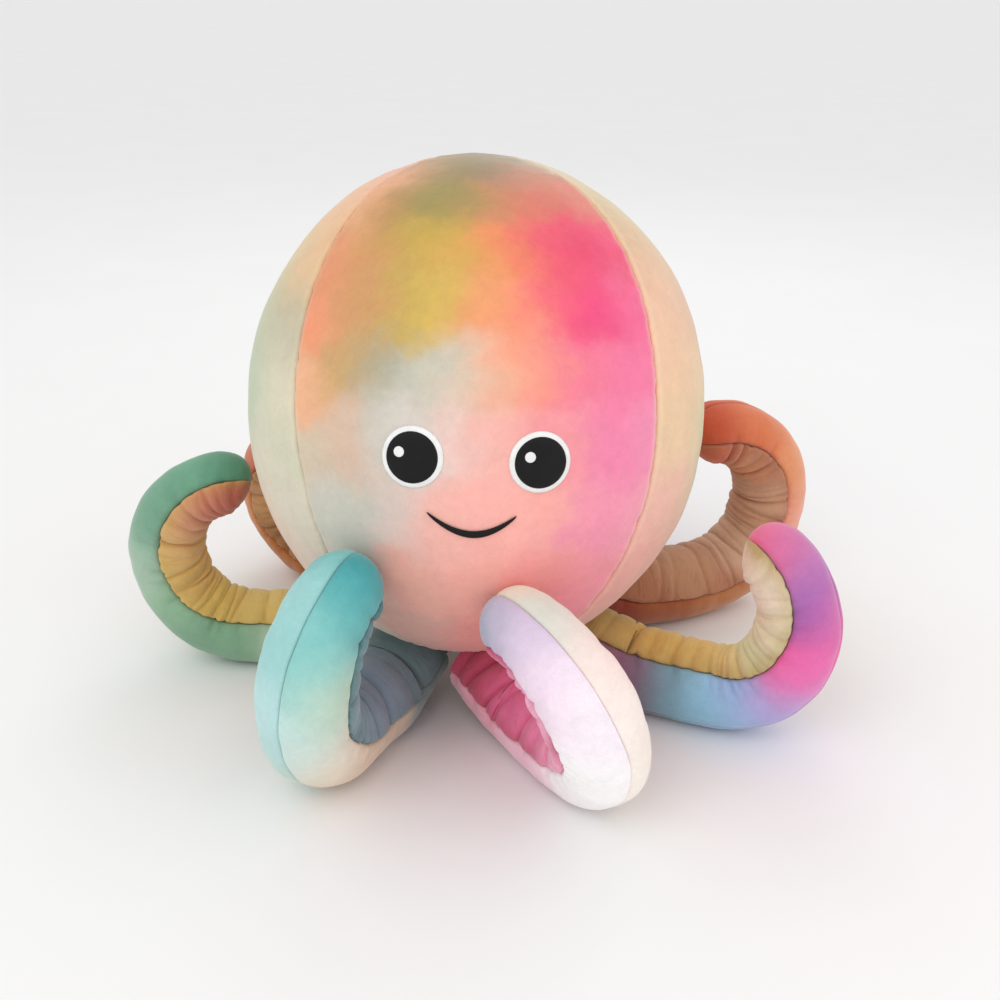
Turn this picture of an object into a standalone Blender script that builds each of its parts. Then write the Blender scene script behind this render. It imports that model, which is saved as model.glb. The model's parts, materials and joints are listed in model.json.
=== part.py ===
"""Stuffed octopus toy: a four-gore ball of a head on a round base patch, with two felt eyes and a smile,
and eight curled arms. Each arm has two outer panels, an inner band gathered on an elastic, and its stuffing
in two wads that meet at the middle of the curl."""

import math

import bmesh
import bpy
from mathutils import Matrix, Vector
from mathutils.geometry import interpolate_bezier

# Driving dimensions, in metres. Lengths that follow the head are given in head radii, and an arm's widths in
# shares of its full width.
head_radius = 0.12
fabric = 0.0014
gap = 0.0004
slack = 0.0012
seam = 0.0009

head_stretch = 1.09
head_tilt = math.radians(20)
head_height = 1.28
base_height = 0.36
head_segments = 24
head_rings = 14

felt = 0.0008
eye_longitude = math.radians(13.8)
eye_latitude = math.radians(-11.2)
eye_radius = 0.0975
eye_border = 0.02
eye_corners = 20
smile_pieces = 12
smile_end = 0.2
smile_half_width = math.radians(10.8)
smile_corner = math.radians(-22.3)
smile_depth = math.radians(4.6)
smile_half_thickness = math.radians(0.95)

# An arm's section: the angles of its corners from the middle of its back, and where the inner band starts.
half_flat = math.radians(20)
panel_corners = [half_flat, math.radians(43), math.radians(67), math.radians(90)]
band_corners = [math.radians(a) for a in (90, 130, 165, 195, 230, 270)]
band_middle = band_corners[2]
elastic_width = 0.002

# An arm's route: half the run that lies on the floor, and how its width changes from root to tip.
floor_run = 0.06
root_reach = 0.6
root_width = 0.92
tip_width = 0.74
root_clearance = 0.0025
root_leave = 0.3
root_drop = 0.45
floor_arrive = 0.4
curl_start = -90
curl_middle = -10
curl_step = 20
curl_run = 0.06
root_points = 5
twist_points = 4
tip_end = 0.45
width_stations = [(0.0, root_width), (0.15, 1.0), (0.6, 1.0), (1.0, tip_width)]

# Where each arm goes: azimuth from the front, distance of its lowest point from the middle, radius of the
# curl, radius of the tube, how far the curl is turned and leant, and the angle at which it ends.
arms = {
    "front_left": dict(azimuth=-33.5, reach=0.92, curl=0.335, tube=0.2, turn=7, lean=-9, end=90),
    "front_right": dict(azimuth=20.5, reach=0.995, curl=0.29, tube=0.186, turn=12, lean=21, end=130),
    "right_front": dict(azimuth=62, reach=1.07, curl=0.352, tube=0.186, turn=4, lean=3, end=70),
    "right_rear": dict(azimuth=112, reach=1.15, curl=0.368, tube=0.185, turn=0, lean=2, end=110),
    "rear_right": dict(azimuth=153, reach=1.08, curl=0.32, tube=0.178, turn=0, lean=0, end=110),
    "rear_left": dict(azimuth=-169, reach=1.06, curl=0.31, tube=0.174, turn=0, lean=0, end=110),
    "left_rear": dict(azimuth=-133, reach=1.05, curl=0.285, tube=0.165, turn=3, lean=-12, end=110),
    "left_front": dict(azimuth=-89, reach=0.985, curl=0.36, tube=0.176, turn=-3, lean=-5, end=90),
}

colours = {
    "head_front_gore": (0.93, 0.45, 0.48, 1),
    "head_left_gore": (0.83, 0.72, 0.55, 1),
    "head_right_gore": (0.86, 0.72, 0.55, 1),
    "head_back_gore": (0.55, 0.68, 0.62, 1),
    "head_base_patch": (0.75, 0.5, 0.45, 1),
    "stuffing": (0.92, 0.92, 0.9, 1),
    "felt_white": (0.92, 0.92, 0.92, 1),
    "felt_black": (0.015, 0.013, 0.015, 1),
    "elastic": (0.85, 0.85, 0.82, 1),
}
arm_colours = {
    "front_left": ((0.38, 0.68, 0.68, 1), (0.25, 0.42, 0.44, 1)),
    "front_right": ((0.9, 0.82, 0.78, 1), (0.85, 0.35, 0.55, 1)),
    "right_front": ((0.55, 0.45, 0.75, 1), (0.75, 0.62, 0.3, 1)),
    "right_rear": ((0.8, 0.38, 0.22, 1), (0.55, 0.35, 0.22, 1)),
    "rear_right": ((0.45, 0.6, 0.75, 1), (0.8, 0.65, 0.4, 1)),
    "rear_left": ((0.8, 0.45, 0.6, 1), (0.5, 0.65, 0.6, 1)),
    "left_rear": ((0.6, 0.25, 0.1, 1), (0.75, 0.4, 0.25, 1)),
    "left_front": ((0.3, 0.55, 0.4, 1), (0.72, 0.5, 0.18, 1)),
}


def clear_scene():
    for item in list(bpy.data.objects):
        bpy.data.objects.remove(item)


def new_collection(name):
    collection = bpy.data.collections.new(name)
    bpy.context.scene.collection.children.link(collection)
    return collection


def fabric_material(name, colour):
    material = bpy.data.materials.new(name)
    material.use_nodes = True
    shader = material.node_tree.nodes["Principled BSDF"]
    shader.inputs["Base Color"].default_value = colour
    shader.inputs["Roughness"].default_value = 0.9
    shader.inputs["Metallic"].default_value = 0.0
    return material


def pivot(name, parent, place, collection):
    """An empty at a joint, which carries what turns about it."""
    empty = bpy.data.objects.new(name, None)
    empty.empty_display_size = head_radius / 6
    collection.objects.link(empty)
    attach(empty, parent, Matrix.Translation(place))
    return empty


def attach(item, parent, world):
    item.parent = parent
    item.matrix_world = world
    bpy.context.view_layer.update()


def mesh_object(name, mesh_data, colour, parent, collection):
    """A mesh object whose origin is its parent's, from a bmesh in world coordinates."""
    mesh_data.transform(parent.matrix_world.inverted())
    mesh = bpy.data.meshes.new(name)
    mesh_data.to_mesh(mesh)
    mesh_data.free()
    mesh.shade_smooth()
    mesh.materials.append(fabric_material(name, colour))
    item = bpy.data.objects.new(name, mesh)
    collection.objects.link(item)
    attach(item, parent, parent.matrix_world.copy())
    return item


def thicken(item, thickness, side):
    shell = item.modifiers.new("thickness", "SOLIDIFY")
    shell.thickness = thickness
    shell.offset = side


# ---- The head ----

head_matrix = Matrix.Translation((0, 0, head_height * head_radius)) @ Matrix.Rotation(-head_tilt, 4, "X")


def head_ball(inset):
    """The head's ellipsoid about its own axis, drawn in by inset."""
    ball = bmesh.new()
    bmesh.ops.create_uvsphere(ball, u_segments=head_segments, v_segments=head_rings, radius=1)
    width = head_radius - inset
    bmesh.ops.scale(ball, vec=(width, width, head_radius * head_stretch - inset), verts=ball.verts)
    return ball


def keep_behind(shape, place, normal):
    """Cuts the shape at a plane and keeps the side that the normal points away from."""
    everything = shape.verts[:] + shape.edges[:] + shape.faces[:]
    bmesh.ops.bisect_plane(shape, geom=everything, plane_co=place, plane_no=normal, clear_outer=True)


def head_gore(name, facing, toy, collection):
    """A quarter of the ball between two seams, cut off above the base patch."""
    gore = head_ball(0)
    for side in (1, -1):
        seam_angle = math.radians(facing + side * 45)
        across = side * Vector((math.cos(seam_angle), math.sin(seam_angle), 0))
        keep_behind(gore, -across * seam / 2, across)
    gore.transform(head_matrix)
    keep_behind(gore, (0, 0, base_height * head_radius + seam / 2), (0, 0, -1))
    thicken(mesh_object(name, gore, colours[name], toy, collection), fabric, -1)


def head_base(toy, collection):
    patch = head_ball(0)
    patch.transform(head_matrix)
    keep_behind(patch, (0, 0, base_height * head_radius - seam / 2), (0, 0, 1))
    name = "head_base_patch"
    thicken(mesh_object(name, patch, colours[name], toy, collection), fabric, -1)


def head_stuffing(toy, collection):
    ball = head_ball(fabric + 1.5 * gap)
    ball.transform(head_matrix)
    mesh_object("head_stuffing", ball, colours["stuffing"], toy, collection)


def on_head(longitude, latitude, lift):
    """The point of the head at these angles about its own axis, raised by lift."""
    width = head_radius + lift
    height = head_radius * head_stretch + lift
    level = math.cos(latitude)
    ahead = Vector((width * level * math.sin(longitude), -width * level * math.cos(longitude), 0))
    return head_matrix @ (ahead + Vector((0, 0, height * math.sin(latitude))))


def head_underside(x, y):
    """The height of the head's lower surface over a point of the floor."""
    reversed_head = head_matrix.inverted()
    squash = Matrix.Diagonal((1, 1, 1 / head_stretch, 1))
    start = squash @ reversed_head @ Vector((x, y, 0))
    rise = squash.to_3x3() @ reversed_head.to_3x3() @ Vector((0, 0, 1))
    along = start.dot(rise)
    span = along * along - rise.dot(rise) * (start.dot(start) - head_radius**2)
    return (-along - math.sqrt(span)) / rise.dot(rise)


def eye_patch(name, side, radius, layer, colour, toy, collection):
    """A felt disc that lies on the head, above the layers beneath it."""
    patch = bmesh.new()
    size = radius * head_radius
    bmesh.ops.create_circle(patch, cap_ends=True, cap_tris=True, segments=eye_corners, radius=size)
    lift = gap + layer * (felt + gap)
    for corner in patch.verts:
        longitude = side * eye_longitude + corner.co.x / (head_radius * math.cos(eye_latitude))
        latitude = eye_latitude + corner.co.y / (head_radius * head_stretch)
        corner.co = on_head(longitude, latitude, lift)
    thicken(mesh_object(name, patch, colour, toy, collection), felt, 1)


def smile(toy, collection):
    """A crescent of felt: a strip bent to an arc and tapered to its corners."""
    strip = bmesh.new()
    bmesh.ops.create_grid(strip, x_segments=smile_pieces, y_segments=1, size=1)
    for corner in strip.verts:
        across, up = corner.co.x, corner.co.y
        middle = smile_corner - smile_depth * (1 - across * across)
        half = smile_half_thickness * (smile_end + (1 - smile_end) * math.sqrt(1 - across * across))
        corner.co = on_head(across * smile_half_width, middle + up * half, gap)
    thicken(mesh_object("smile", strip, colours["felt_black"], toy, collection), felt, 1)


def head(toy, collection):
    facings = {"front": 0, "right": 90, "back": 180, "left": -90}
    for name, facing in facings.items():
        head_gore(f"head_{name}_gore", facing, toy, collection)
    head_base(toy, collection)
    head_stuffing(toy, collection)
    for side, name in ((-1, "left"), (1, "right")):
        border = eye_radius + eye_border
        eye_patch(f"eye_border_{name}", side, border, 0, colours["felt_white"], toy, collection)
        eye_patch(f"eye_disc_{name}", side, eye_radius, 1, colours["felt_black"], toy, collection)
    smile(toy, collection)


# ---- The arms ----


def arm_frame(arm):
    """The arm's own frame: x outward, y up the curl, origin on the centreline at the lowest point."""
    place = math.radians(arm["azimuth"])
    facing = math.radians(arm["azimuth"] + arm["turn"])
    lean = math.radians(arm["lean"])
    outward = Vector((math.sin(facing), -math.cos(facing), 0))
    sideways = Vector((-math.cos(facing), -math.sin(facing), 0))
    up = Vector((0, 0, math.cos(lean))) + sideways * math.sin(lean)
    lowest = arm["reach"] * head_radius * Vector((math.sin(place), -math.cos(place), 0))
    lowest.z = arm["tube"] * head_radius * math.cos(half_flat)
    axes = Matrix((outward, up, outward.cross(up))).transposed()
    return Matrix.Translation(lowest) @ axes.to_4x4()


def arm_root(arm):
    """The middle of the arm's root in its own frame, just under the head."""
    frame = arm_frame(arm)
    inward = (root_reach - arm["reach"]) * head_radius
    below = frame @ Vector((inward, 0, 0))
    room = root_width * arm["tube"] * head_radius + root_clearance
    height = head_underside(below.x, below.y) - room - below.z
    return Vector((inward, height / math.cos(math.radians(arm["lean"])), 0))


def curl_point(arm, angle):
    radius = arm["curl"] * head_radius
    turn = math.radians(angle)
    return Vector((floor_run * head_radius + radius * math.cos(turn), radius + radius * math.sin(turn), 0))


def curl_outward():
    """The direction away from the curl's centre at its middle."""
    turn = math.radians(curl_middle)
    return Vector((math.cos(turn), math.sin(turn), 0))


def curl_onward():
    """The direction of the route at the middle of the curl, where it runs straight for a little way."""
    return Vector((-curl_outward().y, curl_outward().x, 0))


def arm_route(arm):
    """The arm's centreline from root to tip, and the index at which the straight run of its curl starts."""
    root = arm_root(arm)
    touch = Vector((-floor_run * head_radius, 0, 0))
    length = (touch - root).length
    leave = root + Vector((root_leave * length, -root_drop * root.y, 0))
    arrive = touch - Vector((floor_arrive * length, 0, 0))
    route = interpolate_bezier(root, leave, arrive, touch, root_points)
    lower = range(curl_start, curl_middle + 1, curl_step)
    upper = range(curl_middle, arm["end"] + 1, curl_step)
    route += [curl_point(arm, angle) for angle in lower]
    middle = len(route) - 1
    run = curl_run * head_radius * curl_onward()
    route += [curl_point(arm, angle) + run for angle in upper]
    return route, middle


def arm_widths(arm, route):
    """The width of the arm at each point of its route, as a share of its full width, with a round tip."""
    along = [0.0]
    for before, after in zip(route, route[1:]):
        along.append(along[-1] + (after - before).length)
    length = along[-1]
    tip_radius = tip_width * arm["tube"] * head_radius
    widths = []
    for distance in along:
        share = distance / length
        for (start, low), (end, high) in zip(width_stations, width_stations[1:]):
            if share <= end:
                break
        width = low + (high - low) * (share - start) / (end - start)
        left = min((length - distance) / tip_radius, 1)
        widths.append(width * max(math.sqrt(1 - (1 - left) ** 2), tip_end))
    return widths


def section_corner(radius, angle):
    return radius * math.cos(angle), radius * math.sin(angle)


def panel_section(radius, side):
    """Half of the outer fabric, from the seam down the arm's back to the edge of the inner band."""
    shrink = gap / 2 / radius
    corners = panel_corners[:-1] + [panel_corners[-1] - shrink]
    outer = [section_corner(radius, angle) for angle in reversed(corners)]
    inner = [section_corner(radius - fabric, angle) for angle in corners]
    flat_outer = (outer[-1][0], gap / 2)
    flat_inner = (inner[0][0], gap / 2)
    outline = outer + [flat_outer, flat_inner] + inner
    if side > 0:
        return outline
    return [(x, -y) for x, y in reversed(outline)]


def band_section(radius):
    """The inner band, from one half of the outer fabric to the other, clockwise."""
    shrink = gap / 2 / radius
    corners = [band_corners[0] + shrink] + band_corners[1:-1] + [band_corners[-1] - shrink]
    outer = [section_corner(radius, angle) for angle in reversed(corners)]
    inner = [section_corner(radius - fabric, angle) for angle in corners]
    return outer + inner


def elastic_section(radius):
    """A flat strip along the middle of the inner band's inside."""
    outer = -(radius - fabric) * math.cos(math.pi - band_middle) + slack / 2
    inner = outer + elastic_width / 2
    half = elastic_width
    return [(outer, -half), (outer, half), (inner, half), (inner, -half)]


def stuffing_section(radius):
    """The filling inside the fabric, held back from the elastic."""
    full = radius - fabric - slack
    back = full - elastic_width / math.cos(math.pi - band_middle)
    upper = [section_corner(full, angle) for angle in panel_corners + band_corners[1:2]]
    upper.append(section_corner(back, band_middle))
    lower = [(x, -y) for x, y in reversed(upper)]
    return list(reversed(upper + lower))


def section_guide(name, outline, guides):
    curve = bpy.data.curves.new(name, "CURVE")
    curve.dimensions = "2D"
    spline = curve.splines.new("POLY")
    spline.points.add(len(outline) - 1)
    for point, (x, y) in zip(spline.points, outline):
        point.co = (x, y, 0, 1)
    spline.use_cyclic_u = True
    guide = bpy.data.objects.new(name, curve)
    guide.hide_render = True
    guide.display_type = "WIRE"
    guides.objects.link(guide)
    return guide


def swept(name, arm, stations, outline, colour, parent, collections):
    """A piece of the arm: one section swept along part of its route."""
    collection, guides = collections
    curve = bpy.data.curves.new(name, "CURVE")
    curve.dimensions = "3D"
    curve.twist_mode = "MINIMUM"
    curve.bevel_mode = "OBJECT"
    curve.bevel_object = section_guide(name + "_section", outline, guides)
    curve.use_fill_caps = True
    spline = curve.splines.new("POLY")
    spline.points.add(len(stations) - 1)
    for point, (place, width, twist) in zip(spline.points, stations):
        point.co = (*place, 1)
        point.radius = width
        point.tilt = twist
    spline.use_smooth = True
    curve.materials.append(fabric_material(name, colour))
    item = bpy.data.objects.new(name, curve)
    collection.objects.link(item)
    item.parent = parent
    item.matrix_world = arm_frame(arm)
    bpy.context.view_layer.update()
    return item


def arm_stations(arm):
    """Each point of the route, its width, and the twist that keeps a leaning arm's back on the floor."""
    route, middle = arm_route(arm)
    widths = arm_widths(arm, route)
    lean = math.radians(arm["lean"])
    stations = []
    for index, (place, width) in enumerate(zip(route, widths)):
        ease = min(max((middle - index) / twist_points, 0), 1)
        stations.append((place, width, -lean * ease))
    return stations, middle


def curl_joint(stations, middle):
    """The place and width halfway along the straight run, where the two wads meet."""
    (before, width, _), (after, next_width, _) = stations[middle : middle + 2]
    return (before + after) / 2, (width + next_width) / 2


def split_stuffing(stations, middle):
    """The stations of the two wads, which meet with a small gap at the middle of the curl."""
    place, width = curl_joint(stations, middle)
    step = curl_onward() * gap / 2
    root = stations[: middle + 1] + [(place - step, width, 0)]
    tip = [(place + step, width, 0)] + stations[middle + 1 :]
    return root, tip


def build_arm(name, arm, toy, collections):
    frame = arm_frame(arm)
    stations, middle = arm_stations(arm)
    root_stuffing, tip_stuffing = split_stuffing(stations, middle)
    radius = arm["tube"] * head_radius
    root_place = frame @ stations[0][0]
    root_place.z = head_underside(root_place.x, root_place.y)
    place, width = curl_joint(stations, middle)
    back_place = frame @ (place + curl_outward() * radius * width * math.cos(half_flat))
    root_pivot = pivot(f"arm_{name}_root_pivot", toy, root_place, collections[0])
    curl_pivot = pivot(f"arm_{name}_curl_pivot", root_pivot, back_place, collections[0])
    outer, inner = arm_colours[name]
    pieces = [
        ("outer_left", stations, panel_section(radius, 1), outer, root_pivot),
        ("outer_right", stations, panel_section(radius, -1), outer, root_pivot),
        ("inner_band", stations, band_section(radius), inner, root_pivot),
        ("elastic", stations, elastic_section(radius), colours["elastic"], root_pivot),
        ("stuffing_root", root_stuffing, stuffing_section(radius), colours["stuffing"], root_pivot),
        ("stuffing_tip", tip_stuffing, stuffing_section(radius), colours["stuffing"], curl_pivot),
    ]
    for piece, piece_stations, outline, colour, parent in pieces:
        swept(f"arm_{name}_{piece}", arm, piece_stations, outline, colour, parent, collections)


# ---- The toy ----


def stand_over_origin(toy, collection):
    """Moves the toy so that the middle of its outline on the floor is the origin."""
    graph = bpy.context.evaluated_depsgraph_get()
    corners = []
    for item in collection.objects:
        if item.type != "EMPTY":
            solid = item.evaluated_get(graph)
            corners += [solid.matrix_world @ corner.co for corner in solid.to_mesh().vertices]
            solid.to_mesh_clear()
    for axis in (0, 1):
        values = [corner[axis] for corner in corners]
        toy.location[axis] -= (min(values) + max(values)) / 2
    bpy.context.view_layer.update()


def main():
    clear_scene()
    collection = new_collection("octopus_toy")
    guides = new_collection("guides")
    toy = bpy.data.objects.new("octopus_toy_origin", None)
    collection.objects.link(toy)
    head(toy, collection)
    for name, arm in arms.items():
        build_arm(name, arm, toy, (collection, guides))
    stand_over_origin(toy, collection)


main()
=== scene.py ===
import json
import math
import random

import bpy
import numpy as np
from mathutils import Matrix, Vector, noise
from mathutils.geometry import interpolate_bezier

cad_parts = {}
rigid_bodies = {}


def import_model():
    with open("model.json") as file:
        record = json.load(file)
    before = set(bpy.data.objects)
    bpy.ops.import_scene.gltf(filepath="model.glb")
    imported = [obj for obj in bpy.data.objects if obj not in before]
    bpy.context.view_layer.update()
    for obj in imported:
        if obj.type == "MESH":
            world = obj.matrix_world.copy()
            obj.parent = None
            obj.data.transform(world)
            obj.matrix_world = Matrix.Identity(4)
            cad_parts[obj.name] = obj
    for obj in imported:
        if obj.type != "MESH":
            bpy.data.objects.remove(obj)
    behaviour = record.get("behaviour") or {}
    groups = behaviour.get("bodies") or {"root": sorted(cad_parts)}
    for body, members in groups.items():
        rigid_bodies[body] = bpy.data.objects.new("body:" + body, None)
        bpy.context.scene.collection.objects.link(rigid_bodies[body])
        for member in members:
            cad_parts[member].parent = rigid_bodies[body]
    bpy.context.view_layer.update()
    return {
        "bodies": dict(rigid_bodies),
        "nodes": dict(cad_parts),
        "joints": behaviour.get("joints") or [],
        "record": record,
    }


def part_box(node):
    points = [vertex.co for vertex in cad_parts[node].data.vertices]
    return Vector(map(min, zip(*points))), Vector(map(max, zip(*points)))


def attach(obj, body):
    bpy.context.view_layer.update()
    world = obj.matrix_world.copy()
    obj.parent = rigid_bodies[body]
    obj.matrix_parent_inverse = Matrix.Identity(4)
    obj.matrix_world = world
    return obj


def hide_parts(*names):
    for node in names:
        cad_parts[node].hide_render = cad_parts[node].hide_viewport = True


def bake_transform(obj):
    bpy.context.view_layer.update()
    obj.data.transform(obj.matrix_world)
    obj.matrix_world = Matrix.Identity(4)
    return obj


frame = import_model()
print("frame loaded:", len(frame["nodes"]), "solids")

# Lengths without a unit are in head radii, angles are in degrees.
head = {
    "radius": 0.12,  # metres
    "stretch": 1.09,
    "tilt": 20,
    "base": 0.36,
}
radius = head["radius"]
stuffingLow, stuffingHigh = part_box("head_stuffing")
headCentre = (stuffingLow + stuffingHigh) / 2
toyShift = Vector((headCentre.x, headCentre.y, 0))
headMatrix = Matrix.Translation(headCentre) @ Matrix.Rotation(-math.radians(head["tilt"]), 4, "X")


# Colours and nodes


def dye(code):
    parts = [int(code[i : i + 2], 16) / 255 for i in (0, 2, 4)]
    return (*[p / 12.92 if p <= 0.04045 else ((p + 0.055) / 1.055) ** 2.4 for p in parts], 1.0)


def addNode(tree, kind, inputs=None, **settings):
    node = tree.nodes.new(kind)
    for key, value in settings.items():
        setattr(node, key, value)
    for key, value in (inputs or {}).items():
        if isinstance(value, bpy.types.NodeSocket):
            tree.links.new(value, node.inputs[key])
        else:
            node.inputs[key].default_value = value
    return node


def mathNode(tree, operation, first, second=0.0, third=0.0):
    node = addNode(tree, "ShaderNodeMath", {0: first, 1: second, 2: third}, operation=operation)
    return node.outputs[0]


def noiseValue(tree, point, scale, detail, roughness=0.5, distortion=0.0):
    inputs = {"Vector": point, "Scale": scale, "Detail": detail, "Roughness": roughness}
    return addNode(tree, "ShaderNodeTexNoise", {**inputs, "Distortion": distortion}).outputs["Fac"]


def stretchedNoise(tree, point, scale, detail, distortion=0.0):
    scaled = addNode(tree, "ShaderNodeMapping", {"Vector": point, "Scale": (*scale, 1.0)})
    return noiseValue(tree, scaled.outputs[0], 1.0, detail, distortion=distortion)


def newGroup(name, inputs, outputs):
    group = bpy.data.node_groups.new(name, "ShaderNodeTree")
    for label, kind, value in inputs:
        socket = group.interface.new_socket(label, in_out="INPUT", socket_type="NodeSocket" + kind)
        if value is not None:
            socket.default_value = value
    for label, kind in outputs:
        group.interface.new_socket(label, in_out="OUTPUT", socket_type="NodeSocket" + kind)
    start = group.nodes.new("NodeGroupInput")
    end = group.nodes.new("NodeGroupOutput")
    return group, start, end


# Each splash adds its colour, weighted by how near it is. The sum is divided by the weights at the end.
def makeSplashGroup():
    group, start, end = newGroup(
        "dye splash",
        [("Place", "Vector", None), ("Sum", "Vector", None), ("Weight", "Float", 0.0),
         ("Centre", "Vector", None), ("Colour", "Color", None), ("Size", "Float", 0.02)],
        [("Sum", "Vector"), ("Weight", "Float")],
    )
    far = addNode(group, "ShaderNodeVectorMath", {0: start.outputs["Place"], 1: start.outputs["Centre"]},
                  operation="DISTANCE")
    share = mathNode(group, "DIVIDE", far.outputs["Value"], start.outputs["Size"])
    square = mathNode(group, "MULTIPLY", share, share)
    weight = mathNode(group, "EXPONENT", mathNode(group, "MULTIPLY", square, -1.0))
    part = addNode(group, "ShaderNodeVectorMath", {0: start.outputs["Colour"]}, operation="SCALE")
    group.links.new(weight, part.inputs["Scale"])
    total = addNode(group, "ShaderNodeVectorMath", {0: start.outputs["Sum"], 1: part.outputs[0]},
                    operation="ADD")
    group.links.new(total.outputs[0], end.inputs["Sum"])
    group.links.new(mathNode(group, "ADD", start.outputs["Weight"], weight), end.inputs["Weight"])
    return group


def makeWanderGroup():
    group, start, end = newGroup(
        "dye wander",
        [("Place", "Vector", None), ("Point", "Vector", None), ("Reach", "Float", 0.01)],
        [("Place", "Vector")],
    )
    moved = start.outputs["Place"]
    for scale, share, detail in ((26.0, 1.0, 3.0), (95.0, 0.38, 4.0)):
        cloud = addNode(group, "ShaderNodeTexNoise", {
            "Vector": start.outputs["Point"], "Scale": scale, "Detail": detail, "Roughness": 0.6})
        centred = addNode(group, "ShaderNodeVectorMath", {0: cloud.outputs["Color"], 1: (0.5, 0.5, 0.5)},
                          operation="SUBTRACT")
        reach = mathNode(group, "MULTIPLY", start.outputs["Reach"], share * 4)
        push = addNode(group, "ShaderNodeVectorMath", {0: centred.outputs[0]}, operation="SCALE")
        group.links.new(reach, push.inputs["Scale"])
        step = addNode(group, "ShaderNodeVectorMath", {0: moved, 1: push.outputs[0]}, operation="ADD")
        moved = step.outputs[0]
    group.links.new(moved, end.inputs["Place"])
    return group


def makePileGroup():
    group, start, end = newGroup(
        "short pile",
        [("Point", "Vector", None), ("Colour", "Color", None), ("Fold", "Float", 0.0)],
        [("Colour", "Color"), ("Height", "Float"), ("Roughness", "Float")],
    )
    point = start.outputs["Point"]
    tuft = noiseValue(group, point, 1500.0, 2.0, 0.7)
    nap = noiseValue(group, point, 240.0, 4.0, 0.65, 0.6)
    stroke = noiseValue(group, point, 42.0, 3.0, 0.55, 1.2)
    # The nap lies in clumps that show a little lighter or darker, and folds and creases get painted shade, a
    # deeper copy of the colour.
    shade = mathNode(group, "MULTIPLY_ADD", tuft, 0.16, 0.92)
    shade = mathNode(group, "MULTIPLY", shade, mathNode(group, "MULTIPLY_ADD", nap, 0.2, 0.9))
    shade = mathNode(group, "MULTIPLY", shade, mathNode(group, "MULTIPLY_ADD", stroke, 0.16, 0.92))
    bright = addNode(group, "ShaderNodeVectorMath", {0: start.outputs["Colour"]}, operation="SCALE")
    group.links.new(shade, bright.inputs["Scale"])
    # Painted crease shade: the colour multiplied by itself, mixed in by the fold shade amount.
    deep = addNode(group, "ShaderNodeVectorMath", {0: bright.outputs[0], 1: bright.outputs[0]},
                   operation="MULTIPLY")
    share = mathNode(group, "MULTIPLY", start.outputs["Fold"], 0.62)
    mixed = addNode(group, "ShaderNodeMix", {"Factor": share}, data_type="RGBA")
    group.links.new(bright.outputs[0], mixed.inputs[6])
    group.links.new(deep.outputs[0], mixed.inputs[7])
    group.links.new(mixed.outputs[2], end.inputs["Colour"])
    height = mathNode(group, "MULTIPLY_ADD", tuft, 0.35, mathNode(group, "MULTIPLY", nap, 0.65))
    group.links.new(height, end.inputs["Height"])
    group.links.new(mathNode(group, "MULTIPLY_ADD", nap, 0.16, 0.76), end.inputs["Roughness"])
    return group


def makeGatherGroup():
    group, start, end = newGroup(
        "gathered wrinkles",
        [("Skin", "Vector", None), ("Amount", "Float", 0.0)],
        [("Line", "Float")],
    )
    skin = start.outputs["Skin"]
    lines = []
    for scale, sharp in (((250.0, 30.0), 0.035), ((420.0, 60.0), 0.05)):
        wave = stretchedNoise(group, skin, scale, 1.0, 0.4)
        off = mathNode(group, "DIVIDE", mathNode(group, "SUBTRACT", wave, 0.5), sharp)
        square = mathNode(group, "MULTIPLY", off, off)
        lines.append(mathNode(group, "EXPONENT", mathNode(group, "MULTIPLY", square, -1.0)))
    patch = stretchedNoise(group, skin, (85.0, 60.0), 2.0)
    shown = addNode(group, "ShaderNodeMapRange", {"Value": patch, "From Min": 0.42, "From Max": 0.62})
    both = mathNode(group, "MAXIMUM", lines[0], mathNode(group, "MULTIPLY", lines[1], 0.6))
    line = mathNode(group, "MULTIPLY", both, shown.outputs[0])
    group.links.new(mathNode(group, "MULTIPLY", line, start.outputs["Amount"]), end.inputs["Line"])
    return group


splashGroup = makeSplashGroup()
wanderGroup = makeWanderGroup()
pileGroup = makePileGroup()
gatherGroup = makeGatherGroup()


def placeGroup(tree, group, inputs):
    node = tree.nodes.new("ShaderNodeGroup")
    node.node_tree = group
    for key, value in inputs.items():
        if isinstance(value, bpy.types.NodeSocket):
            tree.links.new(value, node.inputs[key])
        else:
            node.inputs[key].default_value = value
    return node


def newMaterial(name):
    material = bpy.data.materials.new(name)
    material.use_nodes = True
    return material, material.node_tree, material.node_tree.nodes["Principled BSDF"]


pile = {
    "bump": 0.35,
    "depth": 0.0009,  # metres
    "sheen": 0.35,
    "sheenRoughness": 0.45,
    "specular": 0.15,
    "wrinkleShade": 0.4,
    "wrinkleDepth": 0.8,
    "seamHighlightColour": "F6DFC4",
    "baseWeight": 0.02,
    "headWander": 0.0095,
    "armWander": 0.0045,
}


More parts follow.
